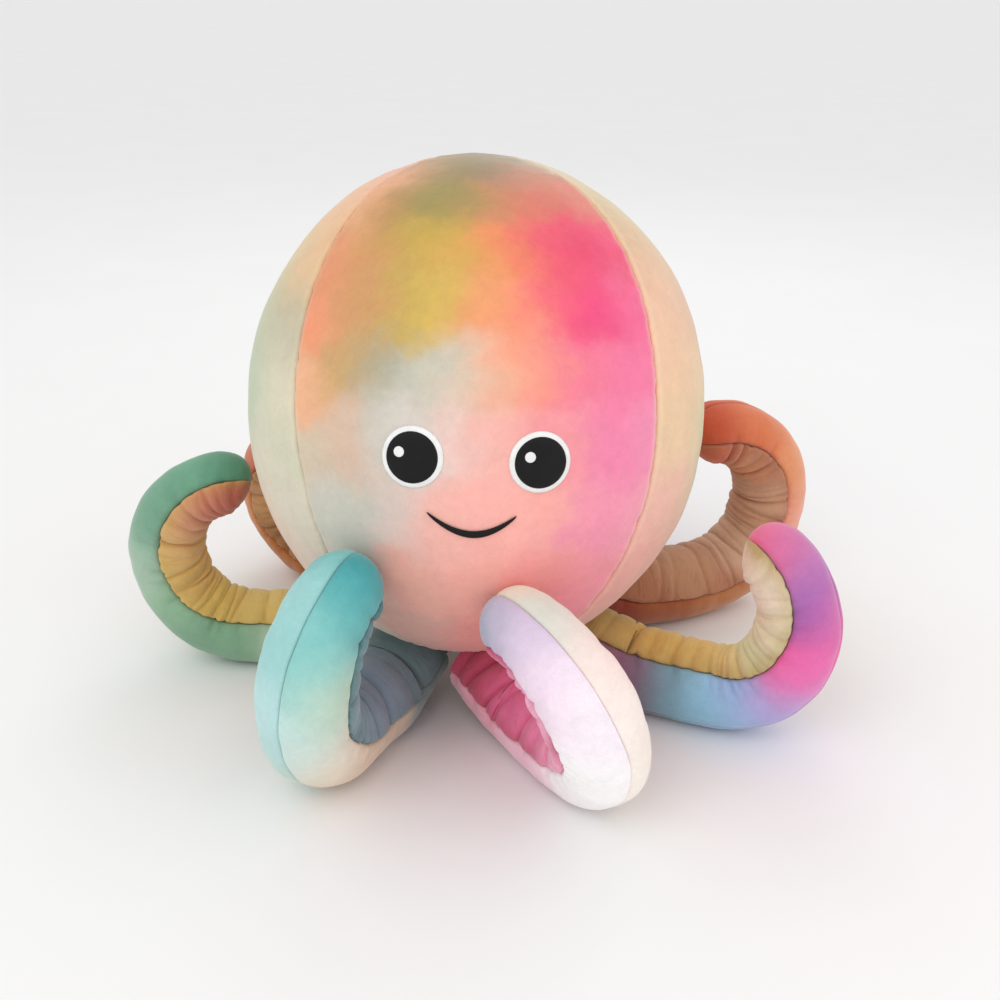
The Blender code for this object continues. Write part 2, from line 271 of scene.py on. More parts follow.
def plushMaterial(name, splashes, base, onSkin):
    material, tree, shader = newMaterial(name)
    point = addNode(tree, "ShaderNodeTexCoord").outputs["Object"]
    skin = addNode(tree, "ShaderNodeUVMap", uv_map="skin").outputs["UV"] if onSkin else point
    wander = pile["armWander"] if onSkin else pile["headWander"]
    place = placeGroup(tree, wanderGroup, {"Place": skin, "Point": point, "Reach": wander}).outputs["Place"]
    total, weight = Vector(base[:3]) * pile["baseWeight"], pile["baseWeight"]
    for spot in splashes:
        node = placeGroup(tree, splashGroup, {
            "Place": place, "Sum": total, "Weight": weight,
            "Centre": spot["centre"], "Colour": spot["colour"], "Size": spot["size"]})
        total, weight = node.outputs["Sum"], node.outputs["Weight"]
    over = mathNode(tree, "DIVIDE", 1.0, weight)
    blended = addNode(tree, "ShaderNodeVectorMath", {0: total}, operation="SCALE")
    tree.links.new(over, blended.inputs["Scale"])
    # Painted shade in folds and creases, stored per point on the arms; the gathered wrinkle lines add painted
    # shade too.
    fold = addNode(tree, "ShaderNodeAttribute", attribute_name="fold").outputs["Fac"]
    if onSkin:
        amount = addNode(tree, "ShaderNodeAttribute", attribute_name="gather").outputs["Fac"]
        line = placeGroup(tree, gatherGroup, {"Skin": skin, "Amount": amount}).outputs["Line"]
        fold = mathNode(tree, "MAXIMUM", fold, mathNode(tree, "MULTIPLY", line, pile["wrinkleShade"]))
    cloth = placeGroup(tree, pileGroup, {"Point": point, "Colour": blended.outputs[0], "Fold": fold})
    # Painted highlight along the head's seams: the colour is lightened towards pale cream by the edge
    # attribute.
    edge = addNode(tree, "ShaderNodeAttribute", attribute_name="edge").outputs["Fac"]
    seamHighlightMix = addNode(tree, "ShaderNodeMix", {"Factor": edge}, data_type="RGBA")
    tree.links.new(cloth.outputs["Colour"], seamHighlightMix.inputs[6])
    seamHighlightMix.inputs[7].default_value = dye(pile["seamHighlightColour"])
    tree.links.new(seamHighlightMix.outputs[2], shader.inputs["Base Color"])
    tree.links.new(cloth.outputs["Roughness"], shader.inputs["Roughness"])
    height = cloth.outputs["Height"]
    if onSkin:
        height = mathNode(tree, "MULTIPLY_ADD", line, -pile["wrinkleDepth"], height)
    bump = addNode(tree, "ShaderNodeBump", {
        "Strength": pile["bump"], "Distance": pile["depth"], "Height": height})
    tree.links.new(bump.outputs["Normal"], shader.inputs["Normal"])
    shader.inputs["Sheen Weight"].default_value = pile["sheen"]
    shader.inputs["Sheen Roughness"].default_value = pile["sheenRoughness"]
    shader.inputs["Specular IOR Level"].default_value = pile["specular"]
    return material


# Meshes


def newPiece(name, points, faces, material):
    mesh = bpy.data.meshes.new(name)
    mesh.from_pydata([tuple(p) for p in points], [], faces)
    mesh.update()
    mesh.materials.append(material)
    item = bpy.data.objects.new(name, mesh)
    bpy.context.scene.collection.objects.link(item)
    mesh.shade_smooth()
    return item


def facesOutward(points, faces):
    points = np.asarray(points)
    volume = 0.0
    for face in faces:
        a = points[face[0]]
        for second, third in zip(face[1:-1], face[2:]):
            volume += float(np.dot(a, np.cross(points[second], points[third])))
    return faces if volume > 0 else [face[::-1] for face in faces]


def storePerPoint(item, name, values):
    attribute = item.data.attributes.new(name, "FLOAT", "POINT")
    attribute.data.foreach_set("value", np.asarray(values, np.float32))


def cloud(point, size, seed=0.0):
    return noise.noise(Vector(point) / size + Vector((seed, seed * 1.7, -seed)))


# The head


def onHead(longitude, latitude, lift=0.0):
    wide, tall = radius + lift, radius * head["stretch"] + lift
    level = math.cos(latitude)
    return headMatrix @ Vector((wide * level * math.sin(longitude), -wide * level * math.cos(longitude),
                                tall * math.sin(latitude)))


def headNormal(longitude, latitude):
    level, tall = math.cos(latitude), head["stretch"]
    return headMatrix.to_3x3() @ Vector((level * math.sin(longitude), -level * math.cos(longitude),
                                         math.sin(latitude) / tall)).normalized()


def headUnderside(x, y):
    back = headMatrix.inverted()
    squash = Matrix.Diagonal((1, 1, 1 / head["stretch"], 1))
    start = squash @ back @ Vector((x, y, 0))
    rise = squash.to_3x3() @ back.to_3x3() @ Vector((0, 0, 1))
    along = start.dot(rise)
    span = along * along - rise.dot(rise) * (start.dot(start) - radius**2)
    return (-along - math.sqrt(max(span, 0))) / rise.dot(rise)


# Where the fabric's own lumps lift or lower the surface of the head.
def headSettle(place):
    return gores["swell"] * (cloud(place, 0.045, 2.0) + 0.35 * cloud(place, 0.014, 5.0))


# The latitude at which the head is cut flat, where the base patch is sewn.
def cutLatitude(longitude):
    low, high = math.radians(-89.9), 0.0
    level = head["base"] * radius
    for _ in range(40):
        middle = (low + high) / 2
        if onHead(longitude, middle).z < level:
            low = middle
        else:
            high = middle
    return high


gores = {
    "half": math.radians(45),
    "columns": 64,
    "rows": 150,
    "roll": 0.0026,  # metres
    "pucker": 0.0009,
    "puckerLength": 0.015,
    "rippleLength": 0.0042,
    "swell": 0.0009,
    "wall": 0.004,
    "lightLeft": 0.1,  # how strong the painted highlight along a seam is, 0 to 1
    "lightRight": 0.3,
    "highlightFrom": 0.0022,
    "highlightWidth": 0.0013,
}

headDye = {
    "patch": "D8A090",
    "front": {
        "base": "F4B0A6",
        "size": 0.0135,
        "splashes": [
            (-30, 68, "C0946E"), (-8, 72, "968C68"), (15, 70, "A89680"), (35, 66, "CCBAA0"),
            (-36, 56, "E2A47C"), (-20, 58, "AC8C5E"), (-6, 60, "8C845A"), (8, 58, "AC8870"),
            (24, 57, "CC8C74"), (-40, 44, "E4A878"), (-26, 46, "B88C54"), (-14, 47, "929052"),
            (-4, 45, "AA9058"), (8, 46, "CC8A64"), (20, 45, "D87868"), (36, 48, "E28474"),
            (-40, 30, "E0946A"), (-28, 33, "CE9A60"), (-17, 36, "C2A64E"), (-6, 34, "D4AA54"),
            (4, 34, "EC9660"), (13, 33, "F08664"), (21, 33, "EE5C74"), (30, 34, "EC4C72"),
            (40, 34, "F05A80"), (-40, 18, "EC9870"), (-28, 20, "CE9868"), (-19, 20, "C8AC58"),
            (-9, 21, "D6B65C"), (1, 20, "EEA06E"), (10, 18, "FA9878"), (19, 19, "F2607C"),
            (29, 18, "F24C82"), (40, 18, "F46C98"), (-41, 5, "EEB48C"), (-31, 8, "C8A46C"),
            (-21, 7, "AEA890"), (-13, 5, "C4C6B8"), (-5, 5, "D8C8B2"), (4, 7, "F4AE90"),
            (13, 7, "F89888"), (24, 6, "F47C98"), (36, 5, "F67CA4"), (-41, -8, "D2C4AC"),
            (-32, -8, "D8B8A2"), (-22, -6, "CCC8BC"), (-13, -8, "D8D2CA"), (-4, -7, "EEC8BE"),
            (6, -8, "F8B4AA"), (17, -7, "F69AA2"), (30, -8, "F486AE"), (41, -7, "F690B4"),
            (-42, -24, "D0CEC0"), (-32, -22, "C6C6BA"), (-21, -23, "DCC8BE"), (-9, -24, "F6B8AC"),
            (4, -24, "FCB4AA"), (17, -24, "FAAEA6"), (30, -23, "F898B4"), (41, -24, "F8A2B6"),
            (-38, -40, "DEC8BC"), (-20, -40, "F2B2A2"), (0, -40, "FAB0A2"), (20, -40, "F8A09E"),
            (38, -40, "F69CA8"), (-30, -58, "E0B0A0"), (0, -60, "EE9C92"), (30, -58, "EE949A"),
        ],
    },
    "left": {
        "base": "D8CDB4",
        "size": 0.019,
        "splashes": [
            (-55, 68, "E6AC92"), (-52, 55, "E8AE8C"), (-66, 52, "E8BE94"), (-54, 40, "E8B88C"),
            (-68, 38, "D8C698"), (-53, 28, "E2BC90"), (-66, 26, "C6C09C"), (-54, 17, "BCB69C"),
            (-68, 14, "C2C6A8"), (-54, 5, "DCD4BA"), (-68, 2, "B4C2A4"), (-55, -10, "D2D0B8"),
            (-70, -12, "DCD2BC"), (-56, -26, "DCD2C0"), (-70, -30, "E2C8B0"), (-56, -42, "DCC8B8"),
            (-90, 50, "E4C0A0"), (-95, 20, "A8C0A8"), (-92, -10, "C8CCA8"), (-90, -38, "E0B8A8"),
            (-120, 55, "D8B8A8"), (-122, 22, "E8A8A0"), (-118, -8, "E0C890"), (-120, -38, "B8C8B8"),
        ],
    },
    "right": {
        "base": "E4C4A0",
        "size": 0.02,
        "splashes": [
            (54, 66, "D8C8AA"), (53, 50, "D8BE94"), (66, 52, "D8C8A0"), (54, 36, "E2B894"),
            (68, 36, "DEC09A"), (53, 22, "F2C2A4"), (67, 20, "E2BC98"), (54, 8, "F4C8A6"),
            (68, 6, "E8CAA0"), (55, -6, "ECCCA4"), (70, -6, "DCCC9C"), (55, -20, "F6BEAE"),
            (70, -22, "EAC0A4"), (56, -38, "F0AEA4"), (72, -40, "E8B4A0"), (92, 50, "E0C4A0"),
            (95, 20, "F0B0A0"), (92, -10, "B8C4A0"), (94, -38, "E8B098"), (122, 52, "C8B8B0"),
            (120, 20, "F49CA8"), (118, -10, "E8C088"), (120, -38, "A8C4BC"),
        ],
    },
    "back": {
        "base": "D8C4B0",
        "size": 0.024,
        "splashes": [
            (150, 62, "C8B0A0"), (205, 60, "B8B090"), (150, 38, "F0909C"), (180, 42, "E8A878"),
            (212, 40, "D0B070"), (148, 12, "F4A8B4"), (176, 14, "D8CCC0"), (206, 12, "98BCAC"),
            (150, -14, "C0B4D8"), (180, -12, "F2B4A4"), (210, -14, "E8CC90"), (152, -40, "A0C8C8"),
            (180, -42, "C8BCD8"), (208, -40, "F0B4A0"),
        ],
    },
}


def headSplashes(entry):
    made = []
    for longitude, latitude, code in entry["splashes"]:
        place = onHead(math.radians(longitude), math.radians(latitude))
        # Splashes lie further apart behind, so each is larger.
        spread = 1.9 if abs(longitude) > 80 else 1
        made.append({"centre": place, "colour": dye(code), "size": entry["size"] * spread})
    return made


def seamDistances(halfWidth):
    near = [0.00015, 0.0004, 0.0008, 0.0013, 0.0019, 0.0026, 0.0036, 0.005, 0.007]
    room = halfWidth * 0.6
    near = [d * min(1.0, room / near[-1]) for d in near]
    middle = np.linspace(near[-1], 2 * halfWidth - near[-1], gores["columns"])[1:-1]
    return near + list(middle) + [2 * halfWidth - d for d in reversed(near)]


def rollOff(distance, depth):
    if distance >= depth:
        return 0.0
    return depth - math.sqrt(max(depth**2 - (depth - distance) ** 2, 0))


# A point of a gore's outer face, the point under it on the inner face, and how much painted highlight it gets
# beside a seam.
def gorePoint(middle, longitude, share, fade):
    low = cutLatitude(longitude)
    latitude = low + (math.pi / 2 - low) * share
    toSeam = (gores["half"] - abs(longitude - middle)) * math.cos(latitude) * radius
    toBase = (latitude - low) * radius
    normal = headNormal(longitude, latitude)
    place = onHead(longitude, latitude)
    lift = -rollOff(toSeam, gores["roll"] * fade) - rollOff(toBase, gores["roll"])
    nearEdge = math.exp(-min(toSeam, toBase) / gores["puckerLength"])
    along = latitude * radius if toSeam < toBase else longitude * radius * 0.5
    edgeSeed = 0.4 if longitude > middle else 3.1
    ripple = noise.noise(Vector((along / gores["rippleLength"], round(math.degrees(middle)), edgeSeed)))
    lift += gores["pucker"] * fade * nearEdge * ripple
    lift += headSettle(place)
    # Painted seam highlight, stronger on the right side of the head than on the left.
    seamHighlight = gores["lightRight"] if longitude > 0 else gores["lightLeft"]
    far = (toSeam - gores["highlightFrom"]) / gores["highlightWidth"]
    return (place + normal * lift, place + normal * (min(lift, 0) - gores["wall"]),
            seamHighlight * math.exp(-(far**2)) * fade)


def goreFaces(rows, columns):
    count = rows * columns
    last = (rows - 1) * columns
    faces = []
    for row in range(rows - 1):
        for column in range(columns - 1):
            a = row * columns + column
            b = a + columns
            faces.append((a, a + 1, b + 1, b))
            faces.append((count + a, count + b, count + b + 1, count + a + 1))
    for column in range(columns - 1):
        faces.append((last + column, last + column + 1, 2 * count))
        faces.append((count + last + column + 1, count + last + column, 2 * count + 1))
        faces.append((column + 1, column, count + column, count + column + 1))
    for row in range(rows - 1):
        a, b = row * columns, (row + 1) * columns
        faces.append((a, b, count + b, count + a))
        a, b = a + columns - 1, b + columns - 1
        faces.append((b, a, count + a, count + b))
    faces.append((last, 2 * count, 2 * count + 1, count + last))
    faces.append((2 * count, last + columns - 1, count + last + columns - 1, 2 * count + 1))
    return faces


def headGore(side, facing):
    half, middle = gores["half"], math.radians(facing)
    cells = []
    for row in range(gores["rows"]):
        share = row / gores["rows"]
        level = cutLatitude(middle) * (1 - share) + math.pi / 2 * share
        widest = max(math.cos(level), 1e-4) * radius * half
        fade = min(1.0, widest / 0.02)
        distances = seamDistances(widest)
        cells += [gorePoint(middle, middle - half + d / widest * half, share, fade) for d in distances]
    top = [onHead(0, math.pi / 2, 0), onHead(0, math.pi / 2, -gores["wall"])]
    points = [cell[0] for cell in cells] + [cell[1] for cell in cells] + top
    faces = goreFaces(gores["rows"], len(cells) // gores["rows"])
    entry = headDye[side]
    material = plushMaterial("plush, head " + side, headSplashes(entry), dye(entry["base"]), False)
    gore = newPiece("headGore" + side.capitalize(), points, facesOutward(points, faces), material)
    # The edge attribute carries the painted seam highlight.
    storePerPoint(gore, "edge", [cell[2] for cell in cells] + [0.0] * (len(cells) + 2))
    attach(gore, "head")
    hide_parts(f"head_{side}_gore")
    if side == "back":
        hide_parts("head_stuffing")


def headBase():
    rows, columns = 26, 120
    level = head["base"] * radius
    rim = [onHead(a, cutLatitude(a)) for a in (math.radians(k * 360 / columns) for k in range(columns))]
    middle = sum(rim, Vector()) / columns
    outer, inner = [], []
    for row in range(rows):
        share = 1 - row / rows
        for place in rim:
            flat = middle + (place - middle) * (share * 0.997)
            toRim = (place - middle).length * (1 - share * 0.997)
            z = headUnderside(flat.x, flat.y) + rollOff(toRim, gores["roll"])
            z += 0.0006 * cloud(flat, 0.012, 7.0)
            outer.append(Vector((flat.x, flat.y, z)))
            inner.append(Vector((flat.x, flat.y, max(z, level - 0.001) + gores["wall"])))
    count = len(outer)
    centre = headUnderside(middle.x, middle.y)
    poles = [Vector((middle.x, middle.y, centre)), Vector((middle.x, middle.y, centre + gores["wall"]))]
    points = outer + inner + poles
    faces = []
    for row in range(rows - 1):
        for column in range(columns):
            a, b = row * columns + column, row * columns + (column + 1) % columns
            faces.append((a, a + columns, b + columns, b))
            faces.append((count + a, count + b, count + b + columns, count + a + columns))
    last = (rows - 1) * columns
    for column in range(columns):
        after = (column + 1) % columns
        faces.append((last + column, 2 * count, last + after))
        faces.append((count + last + column, count + last + after, 2 * count + 1))
        faces.append((column, after, count + after, count + column))
    material = plushMaterial("plush, head base", [], dye(headDye["patch"]), False)
    patch = newPiece("headBasePatch", points, facesOutward(points, faces), material)
    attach(patch, "head")
    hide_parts("head_base_patch")


# The face

face = {
    "eyeLongitude": 13.8,
    "eyeLatitude": -11.0,
    "eyeTilt": 0.55,
    "discRadius": 0.0975,
    "borderRadius": 0.1175,
    "glintRadius": 0.02,
    "glintAside": -0.043,
    "glintUp": 0.024,
    "smileLongitude": -1.1,
    "smileHalfWidth": 10.3,
    "smileCorner": -22.2,
    "smileTilt": 3,
    "smileDepth": 4.3,
    "smileHalfThickness": 0.78,
    "smileRise": 0.0007,  # metres
    "smileWall": 0.0006,
}


def feltMaterial(name, code, roughness, thread):
    material, tree, shader = newMaterial(name)
    point = addNode(tree, "ShaderNodeTexCoord").outputs["Object"]
    fibre = noiseValue(tree, point, 1900.0, 3.0, 0.7)
    mottle = noiseValue(tree, point, 160.0, 3.0)
    turned = addNode(tree, "ShaderNodeMapping", {"Vector": point, "Rotation": (0.3, 0.2, 0.1)})
    stitch = addNode(tree, "ShaderNodeTexWave", {
        "Vector": turned.outputs[0], "Scale": thread, "Distortion": 1.2, "Detail": 1.0, "Detail Scale": 2.0},
        bands_direction="X")
    ramp = addNode(tree, "ShaderNodeValToRGB", {"Fac": mottle})
    colour = dye(code)
    ramp.color_ramp.elements[0].color = [c * 0.82 for c in colour[:3]] + [1]
    ramp.color_ramp.elements[1].color = [min(c * 1.12 + 0.004, 1) for c in colour[:3]] + [1]
    tree.links.new(ramp.outputs["Color"], shader.inputs["Base Color"])
    tree.links.new(mathNode(tree, "MULTIPLY_ADD", fibre, 0.2, roughness - 0.1),
                   shader.inputs["Roughness"])
    height = mathNode(tree, "MULTIPLY_ADD", stitch.outputs["Fac"], 0.7, fibre)
    bump = addNode(tree, "ShaderNodeBump", {"Strength": 0.3, "Distance": 0.0002, "Height": height})
    tree.links.new(bump.outputs["Normal"], shader.inputs["Normal"])
    shader.inputs["Specular IOR Level"].default_value = 0.22
    return material


def deselectAll():
    bpy.ops.object.select_all(action="DESELECT")


def drapeOnHead(item, longitude, latitude, lift):
    for corner in item.data.vertices:
        x, y, z = corner.co
        lon = math.radians(longitude) + x / (radius * math.cos(math.radians(latitude)))
        lat = math.radians(latitude) + y / (radius * head["stretch"])
        place = onHead(lon, lat)
        corner.co = place + headNormal(lon, lat) * (z + lift + headSettle(place))
    item.data.update()


def eyeRound(name, size, thickness, dome, longitude, latitude, lift, material):
    deselectAll()
    bpy.ops.mesh.primitive_circle_add(vertices=64, radius=size, fill_type="NGON", location=(0, 0, 0))
    item = bpy.context.object
    item.name = item.data.name = name
    bpy.ops.object.mode_set(mode="EDIT")
    bpy.ops.mesh.select_all(action="SELECT")
    for share in (0.04, 0.06, 0.1, 0.15, 0.2, 0.2):
        bpy.ops.mesh.inset(thickness=size * share, depth=0)
    bpy.ops.mesh.poke()
    bpy.ops.object.mode_set(mode="OBJECT")
    for corner in item.data.vertices:
        out = min(math.hypot(corner.co.x, corner.co.y) / size, 1)
        corner.co.z = dome * (1 - out**2) + thickness * (math.sqrt(max(1 - out**12, 0)) - 1)
    wall = item.modifiers.new("wall", "SOLIDIFY")
    wall.thickness = thickness
    wall.offset = -1
    bpy.ops.object.modifier_apply(modifier=wall.name)
    drapeOnHead(item, longitude, latitude, lift + thickness)
    item.data.shade_smooth()
    item.data.materials.append(material)
    return item


def eyes():
    white = feltMaterial("felt, white", "F4F4F2", 0.75, 900)
    black = feltMaterial("felt, black", "0B090A", 0.5, 900)
    for sign, side in ((-1, "Left"), (1, "Right")):
        longitude, latitude = sign * face["eyeLongitude"], face["eyeLatitude"] - sign * face["eyeTilt"]
        border = eyeRound("eyeBorder" + side, face["borderRadius"] * radius, 0.0009, 0.0002, longitude,
                          latitude, 0.0003, white)
        disc = eyeRound("eyeDisc" + side, face["discRadius"] * radius, 0.0008, 0.0006, longitude, latitude,
                        0.0012, black)
        aside = math.degrees(face["glintAside"] / math.cos(math.radians(latitude)))
        glint = eyeRound("eyeGlint" + side, face["glintRadius"] * radius, 0.0005, 0.0002, longitude + aside,
                         latitude + math.degrees(face["glintUp"] / head["stretch"]), 0.0024, white)
        for item, node, slot in ((border, "eye_border_", "felt_white"), (disc, "eye_disc_", "felt_black")):
            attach(item, "head")
            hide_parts(node + side.lower())
        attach(glint, "head")
    return black


def smile(material):
    deselectAll()
    bpy.ops.mesh.primitive_grid_add(x_subdivisions=48, y_subdivisions=6, size=2, location=(0, 0, 0))
    item = bpy.context.object
    item.name = item.data.name = "smile"
    wide = math.radians(face["smileHalfWidth"]) * radius * math.cos(math.radians(face["smileCorner"]))
    for corner in item.data.vertices:
        across, up = corner.co.x, corner.co.y
        fall = math.radians(face["smileDepth"]) * (1 - across * across) * radius * head["stretch"]
        thick = math.radians(face["smileHalfThickness"]) * radius * head["stretch"]
        thick *= 0.12 + 0.88 * math.sqrt(max(1 - across * across, 0))
        fall += across * wide * math.tan(math.radians(face["smileTilt"]))
        rise = face["smileRise"] * math.sqrt(max(1 - up * up, 0)) * (1 - across**8)
        corner.co = (across * wide, up * thick - fall, rise)
    wall = item.modifiers.new("wall", "SOLIDIFY")
    wall.thickness = face["smileWall"]
    wall.offset = -1
    bpy.ops.object.modifier_apply(modifier=wall.name)
    drapeOnHead(item, face["smileLongitude"], face["smileCorner"], face["smileRise"])
    item.data.shade_smooth()
    item.data.materials.append(material)
    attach(item, "head")
    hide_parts("smile")


# The arms

armShape = {
    "halfFlat": 20,
    "floorRun": 0.06,
    "rootReach": 0.6,
    "rootWidth": 0.92,
    "rootClearance": 0.0025,  # metres
    "rootLeave": 0.3,
    "rootDrop": 0.45,
    "floorArrive": 0.4,
    "tipWidth": 0.74,
    "curlMiddle": -10,
    "curlRun": 0.06,
    "widths": [(0.0, 0.92), (0.2, 1.0), (0.62, 1.0), (1.0, 0.82)],
    "sewnRun": 0.16,
    "sewnRise": 0.05,
    "step": 0.00085,
    "tipSteps": 18,
    "bandEdge": 92,
    "floorFold": 0.0125,  # metres between gathers, along the middle of the arm
    "curlFold": 0.0076,
    "foldWidth": 0.0014,
    "foldDepth": 0.0034,
    "foldSlant": 0.006,
    "wobble": 0.0022,
    "scallop": 5.5,
    "foldReach": 0.008,
    "wrinkleReach": 0.006,
    "bandHollow": 0.001,
    "seamPull": 0.0005,
    "panelRoll": 0.0034,
    "bandRoll": 0.0022,
    "seamRoll": 0.0018,
    "lump": 0.0013,
    "skinWall": 0.0075,
    "splash": 0.0155,
    "panelWide": 0.035,
    "bandWide": 0.068,
    "sewnIn": 0.004,
}

# left, right and band list dye splashes: how far along, how far across if not in the middle, and colour.
arms = {
    "front_left": {
        "azimuth": -33.5, "reach": 0.92, "curl": 0.335, "tube": 0.2, "turn": 7, "lean": -9,
        "end": 90, "seed": 3,
        "left": [
            (0.1, "7C9490"), (0.3, "98BCB4"), (0.45, 0.3, "C8DCD0"), (0.55, 0.7, "A4D0CC"),
            (0.65, 0.3, "BCE0E0"), (0.75, 0.7, "92CCCA"), (0.85, 0.3, "A0D2D0"), (0.97, "62B2B2"),
        ],
        "right": [
            (0.1, "7C9490"), (0.3, "D4C4AC"), (0.42, 0.4, "E8D0B4"), (0.54, 0.6, "EEE2CE"),
            (0.62, 0.25, "C4E4E2"), (0.7, 0.7, "C8DCC4"), (0.78, 0.3, "8CCCC8"), (0.86, 0.6, "66B8B8"),
            (0.96, 0.4, "3C9CA2"),
        ],
        "band": [
            (0.1, "6C8488"), (0.3, "8898A8"), (0.45, "90A4B0"), (0.6, "8CB0B8"), (0.8, "6CA4A8"),
            (0.95, "489498"),
        ],
    },
    "front_right": {
        "azimuth": 20.5, "reach": 0.995, "curl": 0.29, "tube": 0.186, "turn": 12, "lean": 21,
        "end": 130, "seed": 5,
        "left": [
            (0.1, "E8A8B8"), (0.3, "F2C4D4"), (0.45, 0.4, "FFFCFC"), (0.58, 0.6, "FFFFFF"),
            (0.68, 0.3, "FCF2FA"), (0.76, 0.7, "F6E0F0"), (0.86, 0.4, "D6C4DE"), (0.94, "A8B0C4"),
        ],
        "right": [
            (0.1, "E0B8A8"), (0.3, "EED4C4"), (0.42, 0.7, "EEDCC8"), (0.5, 0.25, "FFF6EC"),
            (0.6, 0.7, "F2E4D4"), (0.66, 0.25, "FFF4EE"), (0.75, 0.6, "FCE0D8"), (0.85, 0.35, "D6DCD2"),
            (0.95, "F2E4CC"),
        ],
        "band": [
            (0.05, "B84C64"), (0.2, "E4709A"), (0.35, "F690B8"), (0.5, 0.3, "F8B0CC"),
            (0.6, 0.6, "E870A0"), (0.75, 0.4, "F8BCD4"), (0.9, "EC88B0"),
        ],
    },
    "right_front": {
        "azimuth": 62, "reach": 1.07, "curl": 0.352, "tube": 0.186, "turn": 4, "lean": 3, "end": 70,
        "seed": 7,
        "roll": (46, -32),
        "left": [
            (0.1, "A07880"), (0.22, "8C6078"), (0.32, "78A0AC"), (0.42, 0.4, "94CCE4"),
            (0.5, 0.6, "9CC0E8"), (0.57, 0.4, "B8A4DC"), (0.67, "F66CAE"), (0.77, 0.4, "E06CAC"),
            (0.84, 0.6, "9C64B0"), (0.91, "C484BC"), (0.98, "EE6C90"),
        ],
        "right": [
            (0.1, "A07880"), (0.22, "905878"), (0.32, "789CA4"), (0.4, "98CCE0"), (0.48, "A4B8E4"),
            (0.55, "BCA8DC"), (0.65, "F66CAE"), (0.76, "E06CAC"), (0.84, "9C60A8"), (0.91, "CC88C0"),
            (0.98, "EC6488"),
        ],
        "band": [
            (0.1, "B89C60"), (0.25, "D8B060"), (0.38, "E0BE70"), (0.5, "E8D090"), (0.62, "DCE2B4"),
            (0.75, "EEE8C8"), (0.9, "F2E4D0"),
        ],
    },
    "right_rear": {
        "azimuth": 112, "reach": 1.15, "curl": 0.368, "tube": 0.185, "turn": 0, "lean": 2,
        "end": 110, "seed": 11,
        "left": [
            (0.1, "A04838"), (0.25, "AC6440"), (0.4, "BC7C50"), (0.52, "D89C70"), (0.62, "F0A890"),
            (0.75, "E89C70"), (0.86, "DC7C54"), (0.98, "C85C40"),
        ],
        "right": [
            (0.1, "A85040"), (0.25, "B06844"), (0.4, "B87C50"), (0.52, "D8A080"), (0.62, "F0B098"),
            (0.75, "E49C6C"), (0.86, "DC7C54"), (0.98, "CC6040"),
        ],
        "band": [
            (0.1, "B07458"), (0.3, "C49474"), (0.5, "D6B094"), (0.7, "D2A688"), (0.85, "D29470"),
            (0.97, "CC6448"),
        ],
    },
    "rear_right": {
        "azimuth": 153, "reach": 1.08, "curl": 0.32, "tube": 0.178, "turn": 0, "lean": 0,
        "end": 110, "seed": 13,
        "left": [
            (0.1, "7890A0"), (0.3, "8CB0C8"), (0.5, "A8C4E0"), (0.65, "C0B0DC"), (0.8, "E8A0C4"),
            (0.95, "F08CA8"),
        ],
        "right": [
            (0.1, "7890A0"), (0.3, "94B8C4"), (0.5, "B8D4D8"), (0.65, "D0C4DC"), (0.8, "D8A8D0"),
            (0.95, "E888B0"),
        ],
        "band": [
            (0.1, "B89868"), (0.4, "D8B878"), (0.7, "E8D4A4"), (0.95, "F0E0C0"),
        ],
    },
    "rear_left": {
        "azimuth": -169, "reach": 1.06, "curl": 0.31, "tube": 0.174, "turn": 0, "lean": 0,
        "end": 110, "seed": 17,
        "left": [
            (0.1, "A86078"), (0.3, "D880A0"), (0.5, "F0A4B8"), (0.65, "F4C8B8"), (0.8, "E8D0A0"),
            (0.95, "D4B470"),
        ],
        "right": [
            (0.1, "A86078"), (0.3, "E090A8"), (0.5, "F4B4BC"), (0.65, "F8D4C8"), (0.8, "F0C49C"),
            (0.95, "E0A070"),
        ],
        "band": [
            (0.1, "608880"), (0.4, "80ACA0"), (0.7, "A8C8B8"), (0.95, "C0D4C0"),
        ],
    },
    "left_rear": {
        "azimuth": -133, "reach": 1.05, "curl": 0.285, "tube": 0.165, "turn": 3, "lean": -12,
        "end": 110, "seed": 19,
        "left": [
            (0.1, "98542C"), (0.3, "B06838"), (0.5, "B87444"), (0.7, "CC7C50"), (0.85, "C05C40"),
            (0.97, "A83C30"),
        ],
        "right": [
            (0.1, "98542C"), (0.3, "B06C3C"), (0.5, "BC7844"), (0.7, "D08C5C"), (0.85, "C86848"),
            (0.97, "B04838"),
        ],
        "band": [
            (0.1, "A87850"), (0.4, "C09060"), (0.7, "D0A070"), (0.95, "C07858"),
        ],
    },
    "left_front": {
        "azimuth": -89, "reach": 0.985, "curl": 0.36, "tube": 0.176, "turn": -3, "lean": -5,
        "end": 98, "seed": 23,
        "roll": (-32, 32),
        "left": [
            (0.1, "8CA484"), (0.25, "ACC4A4"), (0.38, 0.3, "7CA888"), (0.46, 0.7, "9CC0A0"),
            (0.55, "88AC8C"), (0.66, "A4BCA4"), (0.76, "7CA890"), (0.88, "6C9C80"), (0.97, "588C74"),
        ],
        "right": [
            (0.1, "8CA484"), (0.25, "B0C4A8"), (0.38, "84AC8C"), (0.48, 0.3, "78A084"),
            (0.56, 0.7, "98BC9C"), (0.66, "A8C0AC"), (0.78, "78A48C"), (0.88, "70A488"), (0.97, "588C74"),
        ],
        "band": [
            (0.1, "C8A860"), (0.3, "E0C478"), (0.45, "DCBC68"), (0.6, "E0B870"), (0.74, "E2B87C"),
            (0.84, "DCA080"), (0.91, "CC7464"), (0.98, "B45C50"),
        ],
    },
}


